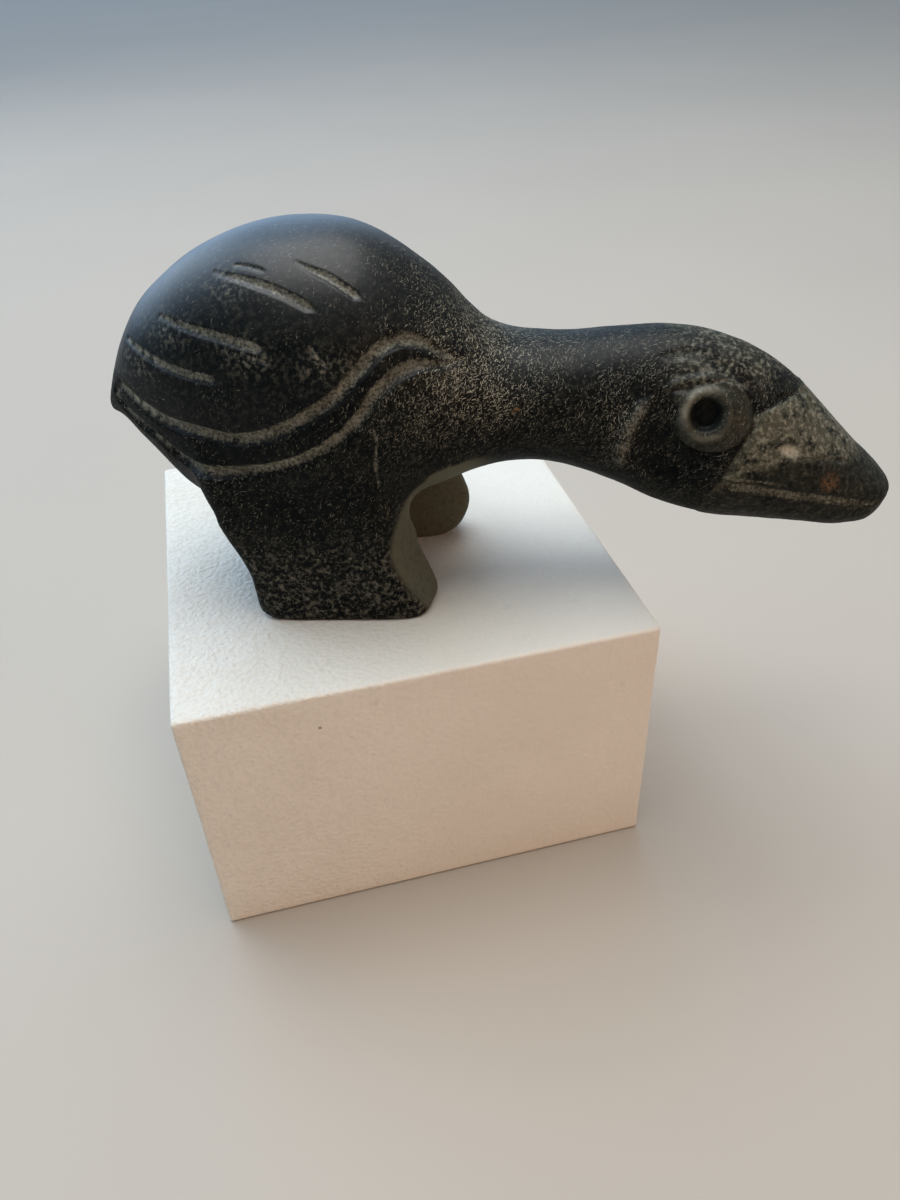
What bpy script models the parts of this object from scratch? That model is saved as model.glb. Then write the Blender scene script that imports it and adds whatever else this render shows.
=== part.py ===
"""A greenstone gosling carved in one piece, standing on its own painted block.

Metres, +Z up. The origin is the centre of the block's underside, and +X runs along the block towards the
beak. The carving's proportions are shares of its own length, measured forward from the tail. Heights are
measured up from the soles of the feet.
"""

import math

import bmesh
import bpy
from mathutils import Matrix, Vector
from mathutils.bvhtree import BVHTree
from mathutils.kdtree import KDTree

# Driving dimensions
GOSLING_LENGTH = 0.228
PLINTH_WIDTH = 0.140
PLINTH_DEPTH = 0.143
PLINTH_HEIGHT = 0.089
PLINTH_EDGE_RADIUS = 0.0012
REST_GAP = 0.0003
TURN_ON_PLINTH = math.radians(-16.5)
STAND_RIGHT = -0.0085
STAND_BACK = -0.0099

# Widths and depths of the carved lines
WING_GROOVE_WIDTH = 0.0046
WING_GROOVE_DEPTH = 0.0016
FEATHER_WIDTH = 0.0030
FEATHER_DEPTH = 0.0009
MOUTH_WIDTH = 0.0036
MOUTH_DEPTH = 0.0013
BEAK_LINE_WIDTH = 0.0028
BEAK_LINE_DEPTH = 0.0007
LID_LINE_WIDTH = 0.0026
LID_LINE_DEPTH = 0.0009
LID_RIM_WIDTH = 0.0034
LID_RIM_RISE = 0.0006
BROW_WIDTH = 0.0045
BROW_DEPTH = 0.0005
CHEEK_WIDTH = 0.0054
CHEEK_RISE = 0.0010

# The eye, the hollow under it, the nostril and the lower jaw
PUPIL_RADIUS = 0.0045
PUPIL_DEPTH = 0.0026
EYE_RING_WIDTH = 0.0030
EYE_RING_RISE = 0.0006
EYEBALL_RISE = 0.0017
SOCKET_DEPTH = 0.0020
NOSTRIL_LENGTH = 0.0070
NOSTRIL_WIDTH = 0.0030
NOSTRIL_DEPTH = 0.0008
JAW_SET_BACK = 0.0007

# How softly those forms end, as shares of their own size
SOCKET_EDGE = 0.55
EYEBALL_EDGE = 0.1
EYE_CORNER_EDGE = 0.2
EYE_CORNER_RISE = 0.6
EYE_RING_EDGE = 1.1
PUPIL_EDGE = 0.3
NOSTRIL_EDGE = 0.8

# A cut line runs out at its ends: over this share of its length, to these shares of its width and depth
LINE_RUN_OUT = 0.12
LINE_END_WIDTH = 0.6
LINE_END_DEPTH = 0.35

# How fine the carving's surface is made, and how soft the join of legs and belly is
SCULPT_DETAIL = GOSLING_LENGTH / 230
FACE_BUDGET = 8600
BLEND_REACH = GOSLING_LENGTH * 0.036
BLEND_PASSES = 70
SKIN_PASSES = 2

# Side view of the body: (share of the length from the tail, height as a share of the length)
BACK_LINE = [(0, 0.257), (0.015, 0.294), (0.05, 0.357), (0.11, 0.415), (0.18, 0.45), (0.26, 0.466),
             (0.34, 0.455), (0.42, 0.403), (0.48, 0.342), (0.56, 0.325), (0.64, 0.328), (0.70, 0.33),
             (0.755, 0.321), (0.81, 0.3), (0.86, 0.264), (0.89, 0.234), (0.945, 0.177), (0.985, 0.139),
             (1, 0.122)]
BELLY_LINE = [(0, 0.238), (0.015, 0.232), (0.05, 0.194), (0.11, 0.13), (0.18, 0.108), (0.26, 0.106),
              (0.34, 0.116), (0.42, 0.142), (0.48, 0.164), (0.56, 0.164), (0.64, 0.134), (0.70, 0.105),
              (0.755, 0.09), (0.81, 0.085), (0.88, 0.08), (0.945, 0.071), (0.976, 0.074), (0.99, 0.086),
              (1, 0.106)]
HALF_WIDTH_LINE = [(0, 0.011), (0.015, 0.026), (0.05, 0.061), (0.11, 0.107), (0.18, 0.14), (0.26, 0.158),
                   (0.34, 0.151), (0.42, 0.125), (0.48, 0.099), (0.56, 0.083), (0.64, 0.08), (0.70, 0.083),
                   (0.755, 0.088), (0.81, 0.086), (0.88, 0.075), (0.945, 0.058), (0.985, 0.04), (1, 0.02)]
# Where a section is widest, as a share of its height, and how square it is above and below that
WIDEST_LINE = [(0, 0.5), (0.18, 0.46), (0.42, 0.45), (0.56, 0.5), (0.70, 0.5), (0.88, 0.4), (1, 0.45)]
UPPER_SQUARENESS = [(0, 2), (0.26, 2.15), (0.42, 2), (0.755, 2), (0.88, 1.7), (1, 2)]
LOWER_SQUARENESS = [(0, 2), (0.26, 2.2), (0.48, 2), (0.70, 2.2), (0.81, 2.6), (0.945, 3), (1, 2)]
BODY_RINGS = 150
RING_POINTS = 72

# The legs, as shares of the length against height: rear edge, the two front edges, outer and inner faces
LEG_REAR = [(0, 0.179), (0.07, 0.172), (0.13, 0.149), (0.18, 0.13), (0.25, 0.122)]
LEG_OUTER = [(0, 0.144), (0.13, 0.141), (0.2, 0.139), (0.25, 0.12)]
LEG_INNER = [(0, 0.072), (0.12, 0.064), (0.25, 0.03)]
NEAR_FRONT_OUTER = [(0, 0.404), (0.023, 0.392), (0.053, 0.37), (0.104, 0.356), (0.168, 0.35), (0.25, 0.34)]
NEAR_FRONT_INNER = [(0, 0.421), (0.03, 0.414), (0.086, 0.397), (0.137, 0.393), (0.25, 0.375)]
FAR_FRONT_OUTER = [(0, 0.425), (0.052, 0.44), (0.1, 0.425), (0.25, 0.36)]
FAR_FRONT_INNER = [(0, 0.436), (0.02, 0.45), (0.052, 0.46), (0.088, 0.45), (0.12, 0.444), (0.25, 0.44)]
NEAR_CORNER_SQUARENESS = 6
FAR_CORNER_SQUARENESS = 3.4
FAR_REAR_FORWARD = 0.03
FAR_FOOT_INWARD = 0.024
LEG_TOP = 0.25
LEG_BELOW_SOLE = 0.006
LEG_RINGS = 56
SOLE_ROUND = 0.014
SOLE_ROUND_OUTWARD = 0.15
FEET_CENTRE = 0.294
SOLE_SNAP = 0.001

# Carved lines seen from the side: (share of the length from the tail, height as a share of the length)
WING_UPPER = [(0.037, 0.292), (0.062, 0.281), (0.093, 0.27), (0.148, 0.266), (0.191, 0.264), (0.242, 0.277),
              (0.288, 0.3), (0.322, 0.321), (0.347, 0.345), (0.37, 0.362), (0.389, 0.365), (0.41, 0.358),
              (0.434, 0.341)]
WING_LOWER = [(0.037, 0.292), (0.022, 0.274), (0.04, 0.257), (0.077, 0.239), (0.114, 0.22), (0.153, 0.216),
              (0.201, 0.222), (0.248, 0.234), (0.289, 0.252), (0.317, 0.27), (0.34, 0.29), (0.362, 0.317),
              (0.385, 0.333), (0.405, 0.337), (0.437, 0.331)]
FEATHERS = [
    [(0.279, 0.443), (0.316, 0.428), (0.346, 0.409)],
    [(0.185, 0.431), (0.232, 0.427), (0.267, 0.418), (0.298, 0.404)],
    [(0.114, 0.384), (0.153, 0.38), (0.202, 0.375), (0.242, 0.367)],
    [(0.058, 0.348), (0.103, 0.338), (0.141, 0.333), (0.181, 0.331)],
]
MOUTH_LINE = [(0.757, 0.163), (0.796, 0.159), (0.849, 0.146), (0.888, 0.136), (0.928, 0.124), (0.978, 0.111)]
BEAK_LINE = [(0.88, 0.248), (0.853, 0.256), (0.82, 0.256), (0.807, 0.25), (0.798, 0.236), (0.786, 0.214),
             (0.775, 0.193), (0.763, 0.164)]
LID_LINE = [(0.785, 0.272), (0.795, 0.259), (0.798, 0.244), (0.791, 0.227), (0.777, 0.214), (0.76, 0.208),
            (0.741, 0.205), (0.722, 0.209)]
LID_RIM = [(0.69, 0.283), (0.712, 0.29), (0.743, 0.291), (0.768, 0.284), (0.787, 0.269)]
BROW_LINE = [(0.686, 0.313), (0.727, 0.313), (0.754, 0.302), (0.775, 0.288), (0.803, 0.264)]
CHEEK_LINE = [(0.672, 0.27), (0.66, 0.259), (0.652, 0.244), (0.646, 0.226), (0.642, 0.206), (0.645, 0.184)]
PUPIL_CENTRE = (0.738, 0.254)
EYE_CENTRE = (0.749, 0.246)
EYEBALL_LENGTH = 0.048
EYEBALL_HEIGHT = 0.04
EYE_CORNER = (0.694, 0.28)
NOSTRIL_CENTRE = (0.847, 0.2)
NOSTRIL_TILT = math.radians(-26)
SOCKET_CENTRE = (0.704, 0.207)
SOCKET_LENGTH = 0.06
SOCKET_HEIGHT = 0.05
FACE_START = 0.62
JAW_EDGE = 0.012
JAW_RUN_IN = 0.06
LINE_STEP = 0.0004

STONE_COLOUR = (0.030, 0.036, 0.034, 1)
STONE_ROUGHNESS = 0.48
PAINT_COLOUR = (0.80, 0.79, 0.77, 1)
PAINT_ROUGHNESS = 0.62


def clear_scene():
    for obj in list(bpy.data.objects):
        bpy.data.objects.remove(obj, do_unlink=True)


def make_material(name, colour, roughness):
    material = bpy.data.materials.new(name)
    material.use_nodes = True
    shader = material.node_tree.nodes["Principled BSDF"]
    shader.inputs["Base Color"].default_value = colour
    shader.inputs["Roughness"].default_value = roughness
    shader.inputs["Metallic"].default_value = 0
    return material


def on_line(points, place):
    """The smooth curve through (place, value) points, read at one place."""
    last = len(points) - 1
    place = min(max(place, points[0][0]), points[last][0])
    index = 0
    while index < last - 1 and place > points[index + 1][0]:
        index += 1

    def chord(i):
        return (points[i + 1][1] - points[i][1]) / (points[i + 1][0] - points[i][0])

    def slope(i):
        if i == 0 or i == last:
            return chord(min(i, last - 1))
        before = points[i][0] - points[i - 1][0]
        after = points[i + 1][0] - points[i][0]
        return (chord(i - 1) * after + chord(i) * before) / (before + after)

    span = points[index + 1][0] - points[index][0]
    t = (place - points[index][0]) / span
    start = (2 * t**3 - 3 * t**2 + 1) * points[index][1] + (t**3 - 2 * t**2 + t) * span * slope(index)
    end = (3 * t**2 - 2 * t**3) * points[index + 1][1] + (t**3 - t**2) * span * slope(index + 1)
    return start + end


def rounded(angle, squareness):
    """A point on a unit superellipse, which is a circle at squareness 2 and nearly a square at 6."""
    power = 2 / squareness
    across = math.copysign(abs(math.cos(angle)) ** power, math.cos(angle))
    up = math.copysign(abs(math.sin(angle)) ** power, math.sin(angle))
    return across, up


def body_ring(along):
    """One section of the body, neck or head, at this share of the length."""
    top = on_line(BACK_LINE, along)
    bottom = on_line(BELLY_LINE, along)
    half = on_line(HALF_WIDTH_LINE, along)
    widest = bottom + (top - bottom) * on_line(WIDEST_LINE, along)
    ring = []
    for step in range(RING_POINTS):
        angle = 2 * math.pi * step / RING_POINTS
        upper = angle < math.pi
        squareness = on_line(UPPER_SQUARENESS if upper else LOWER_SQUARENESS, along)
        across, up = rounded(angle, squareness)
        height = widest + up * ((top - widest) if upper else (widest - bottom))
        ring.append(Vector((along - FEET_CENTRE, across * half, height)) * GOSLING_LENGTH)
    return ring


def leg_ring(height, side):
    """One level section of a leg, a quadrilateral with rounded corners, on side -1 (near) or 1 (far)."""
    near = side < 0
    rear = on_line(LEG_REAR, height) + (0 if near else FAR_REAR_FORWARD)
    front_outer = on_line(NEAR_FRONT_OUTER if near else FAR_FRONT_OUTER, height)
    front_inner = on_line(NEAR_FRONT_INNER if near else FAR_FRONT_INNER, height)
    inward = 0 if near else FAR_FOOT_INWARD * (1 - max(height, 0) / LEG_TOP)
    outer = on_line(LEG_OUTER, height) - inward
    inner = on_line(LEG_INNER, height) - inward
    squareness = NEAR_CORNER_SQUARENESS if near else FAR_CORNER_SQUARENESS
    low = min(max(1 - height / SOLE_ROUND, 0), 1)
    drawn_in = SOLE_ROUND * (1 - math.sqrt(1 - low * low))
    rear += drawn_in
    front_outer -= drawn_in
    front_inner -= drawn_in
    outer -= drawn_in * SOLE_ROUND_OUTWARD
    inner += drawn_in * SOLE_ROUND_OUTWARD
    ring = []
    for step in range(RING_POINTS):
        along, out = rounded(2 * math.pi * step / RING_POINTS, squareness)
        share_out = (out + 1) / 2
        front = front_inner + (front_outer - front_inner) * share_out
        x = rear + (front - rear) * (along + 1) / 2
        y = inner + (outer - inner) * share_out
        ring.append(Vector((x - FEET_CENTRE, side * y, height)) * GOSLING_LENGTH)
    return ring


def loft(name, rings):
    """A closed solid through a row of rings that have as many points each."""
    bm = bmesh.new()
    loops = [[bm.verts.new(point) for point in ring] for ring in rings]
    count = len(rings[0])
    for lower, upper in zip(loops, loops[1:]):
        for i in range(count):
            j = (i + 1) % count
            bm.faces.new((lower[i], lower[j], upper[j], upper[i]))
    bm.faces.new(loops[0])
    bm.faces.new(loops[-1])
    bmesh.ops.recalc_face_normals(bm, faces=bm.faces)
    mesh = bpy.data.meshes.new(name)
    bm.to_mesh(mesh)
    bm.free()
    obj = bpy.data.objects.new(name, mesh)
    bpy.context.scene.collection.objects.link(obj)
    return obj


def make_trunk():
    """Body, neck and head, with rings closer together towards the tail and the beak."""
    places = [0.5 - 0.5 * math.cos(math.pi * i / (BODY_RINGS - 1)) for i in range(BODY_RINGS)]
    return loft("trunk", [body_ring(along) for along in places])


def make_leg(side):
    """A leg on side -1 (near) or 1 (far), run on a little below the sole, where it is cut off."""
    span = LEG_TOP + LEG_BELOW_SOLE
    heights = [span * i / (LEG_RINGS - 1) - LEG_BELOW_SOLE for i in range(LEG_RINGS)]
    return loft("leg", [leg_ring(height, side) for height in heights])


def keep_evaluated(obj):
    """Gives an object the mesh that its modifiers make, and drops the modifiers."""
    graph = bpy.context.evaluated_depsgraph_get()
    mesh = bpy.data.meshes.new_from_object(obj.evaluated_get(graph))
    obj.modifiers.clear()
    obj.data = mesh


def union_with(obj, other):
    cut = obj.modifiers.new("join " + other.name, "BOOLEAN")
    cut.operation = "UNION"
    cut.solver = "EXACT"
    cut.object = other
    keep_evaluated(obj)


def tree_of(obj):
    return BVHTree.FromObject(obj, bpy.context.evaluated_depsgraph_get())


def even_skin(obj):
    """Covers a solid with small faces of one size, so that it can be sculpted."""
    remesh = obj.modifiers.new("even skin", "REMESH")
    remesh.mode = "VOXEL"
    remesh.voxel_size = SCULPT_DETAIL
    keep_evaluated(obj)


def cut_soles(obj):
    """Cuts the feet off level and closes them."""
    bm = bmesh.new()
    bm.from_mesh(obj.data)
    geometry = bm.verts[:] + bm.edges[:] + bm.faces[:]
    cut = bmesh.ops.bisect_plane(
        bm, geom=geometry, plane_co=(0, 0, 0), plane_no=(0, 0, -1), clear_outer=True)
    rim = [part for part in cut["geom_cut"] if isinstance(part, bmesh.types.BMEdge)]
    bmesh.ops.holes_fill(bm, edges=rim, sides=0)
    bmesh.ops.triangulate(bm, faces=bm.faces)
    bmesh.ops.recalc_face_normals(bm, faces=bm.faces)
    bm.to_mesh(obj.data)
    bm.free()


def soften_joins(obj, trunk_tree, leg_trees):
    """Rounds the hollow where each leg grows out of the belly."""
    bm = bmesh.new()
    bm.from_mesh(obj.data)

    def near_both(point):
        on_trunk = trunk_tree.find_nearest(point, BLEND_REACH)[0] is not None
        return on_trunk and any(tree.find_nearest(point, BLEND_REACH)[0] is not None for tree in leg_trees)

    join = [vert for vert in bm.verts if near_both(vert.co)]
    for _ in range(BLEND_PASSES):
        bmesh.ops.smooth_vert(
            bm, verts=join, factor=0.5, use_axis_x=True, use_axis_y=True, use_axis_z=True)
    bm.to_mesh(obj.data)
    bm.free()


def soften_all(obj):
    """Takes the steps of the even skin out of the whole surface."""
    bm = bmesh.new()
    bm.from_mesh(obj.data)
    for _ in range(SKIN_PASSES):
        bmesh.ops.smooth_vert(
            bm, verts=bm.verts, factor=0.5, use_axis_x=True, use_axis_y=True, use_axis_z=True)
    bm.to_mesh(obj.data)
    bm.free()


def side_curve(points):
    """Even steps along the smooth curve through points seen from the side, in metres."""
    knots = [Vector((x - FEET_CENTRE, 0, z)) * GOSLING_LENGTH for x, z in points]
    lengths = [0]
    for before, after in zip(knots, knots[1:]):
        lengths.append(lengths[-1] + (after - before).length)
    steps = max(2, math.ceil(lengths[-1] / LINE_STEP))
    along = list(zip(lengths, [knot.x for knot in knots]))
    up = list(zip(lengths, [knot.z for knot in knots]))
    places = [lengths[-1] * i / steps for i in range(steps + 1)]
    return [Vector((on_line(along, place), 0, on_line(up, place))) for place in places]


def onto_side(tree, point, side):
    """The point of the surface that a ray from the side, -1 near or 1 far, meets first."""
    start = Vector((point.x, side * GOSLING_LENGTH, point.z))
    return tree.ray_cast(start, Vector((0, -side, 0)))[0]


def run_out(place):
    """How full a cut is along its length, from 0 at its ends to 1."""
    return min(1, min(place, 1 - place) / LINE_RUN_OUT)


def carve_lines(obj, lines):
    """Cuts or raises rounded lines: each is (side-view points, width, depth, tapered)."""
    tree = tree_of(obj)
    samples = []
    for points, width, depth, tapered in lines:
        curve = side_curve(points)
        for side in (-1, 1):
            for i, point in enumerate(curve):
                spot = onto_side(tree, point, side)
                if spot is not None:
                    share = run_out(i / (len(curve) - 1)) if tapered else 1
                    half = width / 2 * (LINE_END_WIDTH + (1 - LINE_END_WIDTH) * share)
                    samples.append((spot, half, depth * (LINE_END_DEPTH + (1 - LINE_END_DEPTH) * share)))
    near = KDTree(len(samples))
    for i, sample in enumerate(samples):
        near.insert(sample[0], i)
    near.balance()
    bm = bmesh.new()
    bm.from_mesh(obj.data)
    bm.normal_update()
    moves = []
    for vert in bm.verts:
        _, index, distance = near.find(vert.co)
        _, half, depth = samples[index]
        if distance < half:
            moves.append((vert, vert.normal * -depth * (1 - (distance / half) ** 2)))
    for vert, move in moves:
        vert.co += move
    bm.to_mesh(obj.data)
    bm.free()


def smooth_step(value):
    value = min(max(value, 0), 1)
    return value * value * (3 - 2 * value)


def side_place(point):
    """A point of the side view, given in shares of the length, in metres."""
    return Vector(((point[0] - FEET_CENTRE) * GOSLING_LENGTH, point[1] * GOSLING_LENGTH))


def from_oval(place, centre, half_length, half_height):
    """0 in the middle of an oval of the side view, 1 on its edge."""
    away = (place - side_place(centre)) / GOSLING_LENGTH
    return math.hypot(away.x / half_length, away.y / half_height)


def socket_rise(place):
    socket = from_oval(place, SOCKET_CENTRE, SOCKET_LENGTH, SOCKET_HEIGHT)
    beside_eye = smooth_step((from_oval(place, EYE_CENTRE, EYEBALL_LENGTH, EYEBALL_HEIGHT) - 1) / EYEBALL_EDGE)
    return -SOCKET_DEPTH * smooth_step((1 - socket) / SOCKET_EDGE) * beside_eye


def eye_rise(place):
    """The eyeball with its pointed rear corner, its ring and its drilled pupil."""
    ball = from_oval(place, EYE_CENTRE, EYEBALL_LENGTH, EYEBALL_HEIGHT)
    fullness = math.sqrt(max(1 - ball * ball, 0))
    corner = side_place(EYE_CORNER) - side_place(EYE_CENTRE)
    away = place - side_place(EYE_CENTRE)
    back = away.dot(corner) / corner.length
    if 0 < back < corner.length:
        beside = abs(away.x * corner.y - away.y * corner.x) / corner.length
        wedge = EYEBALL_HEIGHT * GOSLING_LENGTH * (1 - back / corner.length)
        fullness = max(fullness, EYE_CORNER_RISE * smooth_step(1 + EYE_CORNER_EDGE - beside / wedge))
    from_pupil = (place - side_place(PUPIL_CENTRE)).length
    from_ring = abs(from_pupil - PUPIL_RADIUS - EYE_RING_WIDTH / 2)
    ring = smooth_step(EYE_RING_EDGE - from_ring / (EYE_RING_WIDTH / 2))
    pupil = smooth_step((PUPIL_RADIUS - from_pupil) / (PUPIL_RADIUS * PUPIL_EDGE))
    return EYEBALL_RISE * fullness + EYE_RING_RISE * ring - PUPIL_DEPTH * pupil


def nostril_rise(place):
    away = place - side_place(NOSTRIL_CENTRE)
    away.rotate(Matrix.Rotation(-NOSTRIL_TILT, 2))
    nick = math.hypot(away.x / (NOSTRIL_LENGTH / 2), away.y / (NOSTRIL_WIDTH / 2))
    return -NOSTRIL_DEPTH * smooth_step(1 + (1 - nick) / NOSTRIL_EDGE)


def jaw_rise(place, facing):
    """The lower jaw sits back under the upper one, on the sides of the beak only."""
    along = place.x / GOSLING_LENGTH + FEET_CENTRE
    below = on_line(MOUTH_LINE, along) - place.y / GOSLING_LENGTH
    begun = smooth_step((along - MOUTH_LINE[0][0]) / JAW_RUN_IN)
    return -JAW_SET_BACK * smooth_step(below / JAW_EDGE) * begun * smooth_step(abs(facing.y))


def shape_face(obj):
    """Sinks the hollow under the eye, raises the eyeball, drills the pupil, nicks the nostril."""
    bm = bmesh.new()
    bm.from_mesh(obj.data)
    bm.normal_update()
    moves = []
    for vert in bm.verts:
        x, y, z = vert.co
        if abs(y) < PUPIL_RADIUS or x < (FACE_START - FEET_CENTRE) * GOSLING_LENGTH:
            continue
        place = Vector((x, z))
        rise = socket_rise(place) + eye_rise(place) + nostril_rise(place) + jaw_rise(place, vert.normal)
        moves.append((vert, vert.normal * rise))
    for vert, move in moves:
        vert.co += move
    bm.to_mesh(obj.data)
    bm.free()


def thin_out(obj):
    """Keeps small faces only where the surface turns."""
    collapse = obj.modifiers.new("fewer faces", "DECIMATE")
    collapse.ratio = FACE_BUDGET / sum(len(face.vertices) - 2 for face in obj.data.polygons)
    collapse.use_collapse_triangulate = True
    keep_evaluated(obj)
    for vert in obj.data.vertices:
        if vert.co.z < SOLE_SNAP * GOSLING_LENGTH:
            vert.co.z = 0


def make_gosling(material):
    trunk = make_trunk()
    trunk_tree = tree_of(trunk)
    legs = [make_leg(side) for side in (-1, 1)]
    leg_trees = [tree_of(leg) for leg in legs]
    for leg in legs:
        union_with(trunk, leg)
        bpy.data.objects.remove(leg, do_unlink=True)
    even_skin(trunk)
    soften_joins(trunk, trunk_tree, leg_trees)
    soften_all(trunk)
    cut_soles(trunk)
    shape_face(trunk)
    carve_lines(trunk, [
        (WING_UPPER, WING_GROOVE_WIDTH, WING_GROOVE_DEPTH, True),
        (WING_LOWER, WING_GROOVE_WIDTH, WING_GROOVE_DEPTH, True),
        (MOUTH_LINE, MOUTH_WIDTH, MOUTH_DEPTH, False),
        (BEAK_LINE, BEAK_LINE_WIDTH, BEAK_LINE_DEPTH, False),
        (LID_LINE, LID_LINE_WIDTH, LID_LINE_DEPTH, True),
        (LID_RIM, LID_RIM_WIDTH, -LID_RIM_RISE, True),
        (BROW_LINE, BROW_WIDTH, BROW_DEPTH, True),
        (CHEEK_LINE, CHEEK_WIDTH, -CHEEK_RISE, True),
    ] + [(feather, FEATHER_WIDTH, FEATHER_DEPTH, True) for feather in FEATHERS])
    thin_out(trunk)
    trunk.name = "gosling"
    trunk.data.name = "gosling"
    trunk.data.materials.clear()
    trunk.data.materials.append(material)
    trunk.data.shade_smooth()
    trunk.rotation_euler = (0, 0, TURN_ON_PLINTH)
    trunk.location = (STAND_RIGHT, STAND_BACK, PLINTH_HEIGHT + REST_GAP)
    return trunk


def make_plinth(material):
    """A sawn block with its edges softened by paint."""
    bm = bmesh.new()
    bmesh.ops.create_cube(bm, size=1, matrix=Matrix.Translation((0, 0, 0.5)))
    bmesh.ops.scale(bm, vec=(PLINTH_WIDTH, PLINTH_DEPTH, PLINTH_HEIGHT), verts=bm.verts)
    bmesh.ops.bevel(bm, geom=bm.edges[:], offset=PLINTH_EDGE_RADIUS, segments=3, profile=0.5, affect="EDGES")
    mesh = bpy.data.meshes.new("plinth")
    bm.to_mesh(mesh)
    bm.free()
    mesh.materials.append(material)
    plinth = bpy.data.objects.new("plinth", mesh)
    bpy.context.scene.collection.objects.link(plinth)
    return plinth


def main():
    clear_scene()
    make_plinth(make_material("painted_wood", PAINT_COLOUR, PAINT_ROUGHNESS))
    make_gosling(make_material("greenstone", STONE_COLOUR, STONE_ROUGHNESS))


main()
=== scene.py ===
"""Dresses a greenstone gosling and its painted block, in metres, +Z up.

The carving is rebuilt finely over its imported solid: body and legs are lofted, joined, skinned evenly and
then cut with the wing lines, feather strokes, eye, mouth and nostril. Its proportions are shares of its own
length, measured forward from the tail, and heights are measured up from the soles.
"""

import math

import bmesh
import bpy
import numpy as np
from mathutils import Matrix, Vector, noise
from mathutils.bvhtree import BVHTree
from mathutils.kdtree import KDTree


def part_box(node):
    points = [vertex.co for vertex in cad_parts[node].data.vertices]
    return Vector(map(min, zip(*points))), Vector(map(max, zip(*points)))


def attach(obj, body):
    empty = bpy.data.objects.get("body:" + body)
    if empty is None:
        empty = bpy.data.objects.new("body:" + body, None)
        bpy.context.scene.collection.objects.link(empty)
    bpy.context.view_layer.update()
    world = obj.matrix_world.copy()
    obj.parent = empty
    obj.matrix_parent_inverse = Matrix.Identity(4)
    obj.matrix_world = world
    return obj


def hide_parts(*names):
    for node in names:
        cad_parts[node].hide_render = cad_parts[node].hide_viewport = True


bl_info = {
    "name": "Greenstone Gosling",
    "version": (1, 0, 0),
    "blender": (4, 5, 0),
    "location": "View3D > Sidebar > Gosling",
    "description": "Carves a greenstone gosling, its painted block and a plain stage",
    "category": "Object",
}

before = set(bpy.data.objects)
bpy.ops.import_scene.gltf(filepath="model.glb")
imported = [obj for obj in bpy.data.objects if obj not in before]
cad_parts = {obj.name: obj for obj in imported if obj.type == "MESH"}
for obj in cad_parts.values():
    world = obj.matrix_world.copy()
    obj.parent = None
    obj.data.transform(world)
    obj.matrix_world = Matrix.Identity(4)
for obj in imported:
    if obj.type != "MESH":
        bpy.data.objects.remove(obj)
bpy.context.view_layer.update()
PLINTH_LOW, PLINTH_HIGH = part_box("plinth")


def shares(*points):
    """Points given in thousandths of the carving's length, as shares of it."""
    return [(first / 1000, second / 1000) for first, second in points]


# Side view of the body: (place along it from the tail, height)
BACK_LINE = shares((0, 257), (15, 294), (50, 357), (110, 415), (180, 450), (260, 466), (340, 455),
                   (420, 403), (480, 342), (560, 325), (640, 328), (700, 330), (755, 321), (810, 300),
                   (860, 264), (890, 234), (945, 177), (985, 139), (1000, 122))
BELLY_LINE = shares((0, 238), (15, 232), (50, 194), (110, 130), (180, 108), (260, 106), (340, 116),
                    (420, 142), (480, 164), (560, 164), (640, 134), (700, 105), (755, 90), (810, 85),
                    (880, 80), (945, 71), (976, 74), (990, 86), (1000, 106))
HALF_WIDTH_LINE = shares((0, 11), (15, 26), (50, 61), (110, 107), (180, 140), (260, 158), (340, 151),
                         (420, 125), (480, 99), (560, 83), (640, 80), (700, 83), (755, 88), (810, 86),
                         (880, 75), (945, 58), (985, 40), (1000, 20))
# Where a section is widest, as a share of its height, and how square it is above and below: (share, value)
WIDEST_LINE = [(0, 0.5), (0.18, 0.46), (0.42, 0.45), (0.56, 0.5), (0.70, 0.5), (0.88, 0.4), (1, 0.45)]
UPPER_SQUARENESS = [(0, 2), (0.26, 2.15), (0.42, 2), (0.755, 2), (0.88, 1.7), (1, 2)]
LOWER_SQUARENESS = [(0, 2), (0.26, 2.2), (0.48, 2), (0.70, 2.2), (0.81, 2.6), (0.945, 3), (1, 2)]
BODY_RINGS = 170
RING_POINTS = 80

# The legs, as (height, place): rear edge, outer and inner faces, and the two front edges of each leg
LEG_REAR = shares((0, 179), (70, 172), (130, 149), (180, 130), (250, 122))
LEG_OUTER = shares((0, 144), (130, 141), (200, 139), (250, 120))
LEG_INNER = shares((0, 72), (120, 64), (250, 30))
NEAR_FRONT_OUTER = shares((0, 404), (23, 392), (53, 370), (104, 356), (168, 350), (250, 340))
NEAR_FRONT_INNER = shares((0, 421), (30, 414), (86, 397), (137, 393), (250, 375))
FAR_FRONT_OUTER = shares((0, 425), (52, 440), (100, 425), (250, 360))
FAR_FRONT_INNER = shares((0, 436), (20, 450), (52, 460), (88, 450), (120, 444), (250, 440))
NEAR_CORNER_SQUARENESS = 6
FAR_CORNER_SQUARENESS = 3.4
FAR_REAR_FORWARD = 0.03
FAR_FOOT_INWARD = 0.024
LEG_TOP = 0.25
LEG_BELOW_SOLE = 0.006
LEG_RINGS = 60
SOLE_ROUND = 0.014
SOLE_ROUND_OUTWARD = 0.15
FEET_CENTRE = 0.294
BLEND_REACH = 0.036
BLEND_PASSES = 75
SKIN_PASSES = 3
REST_GAP = 0.0003

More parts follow.
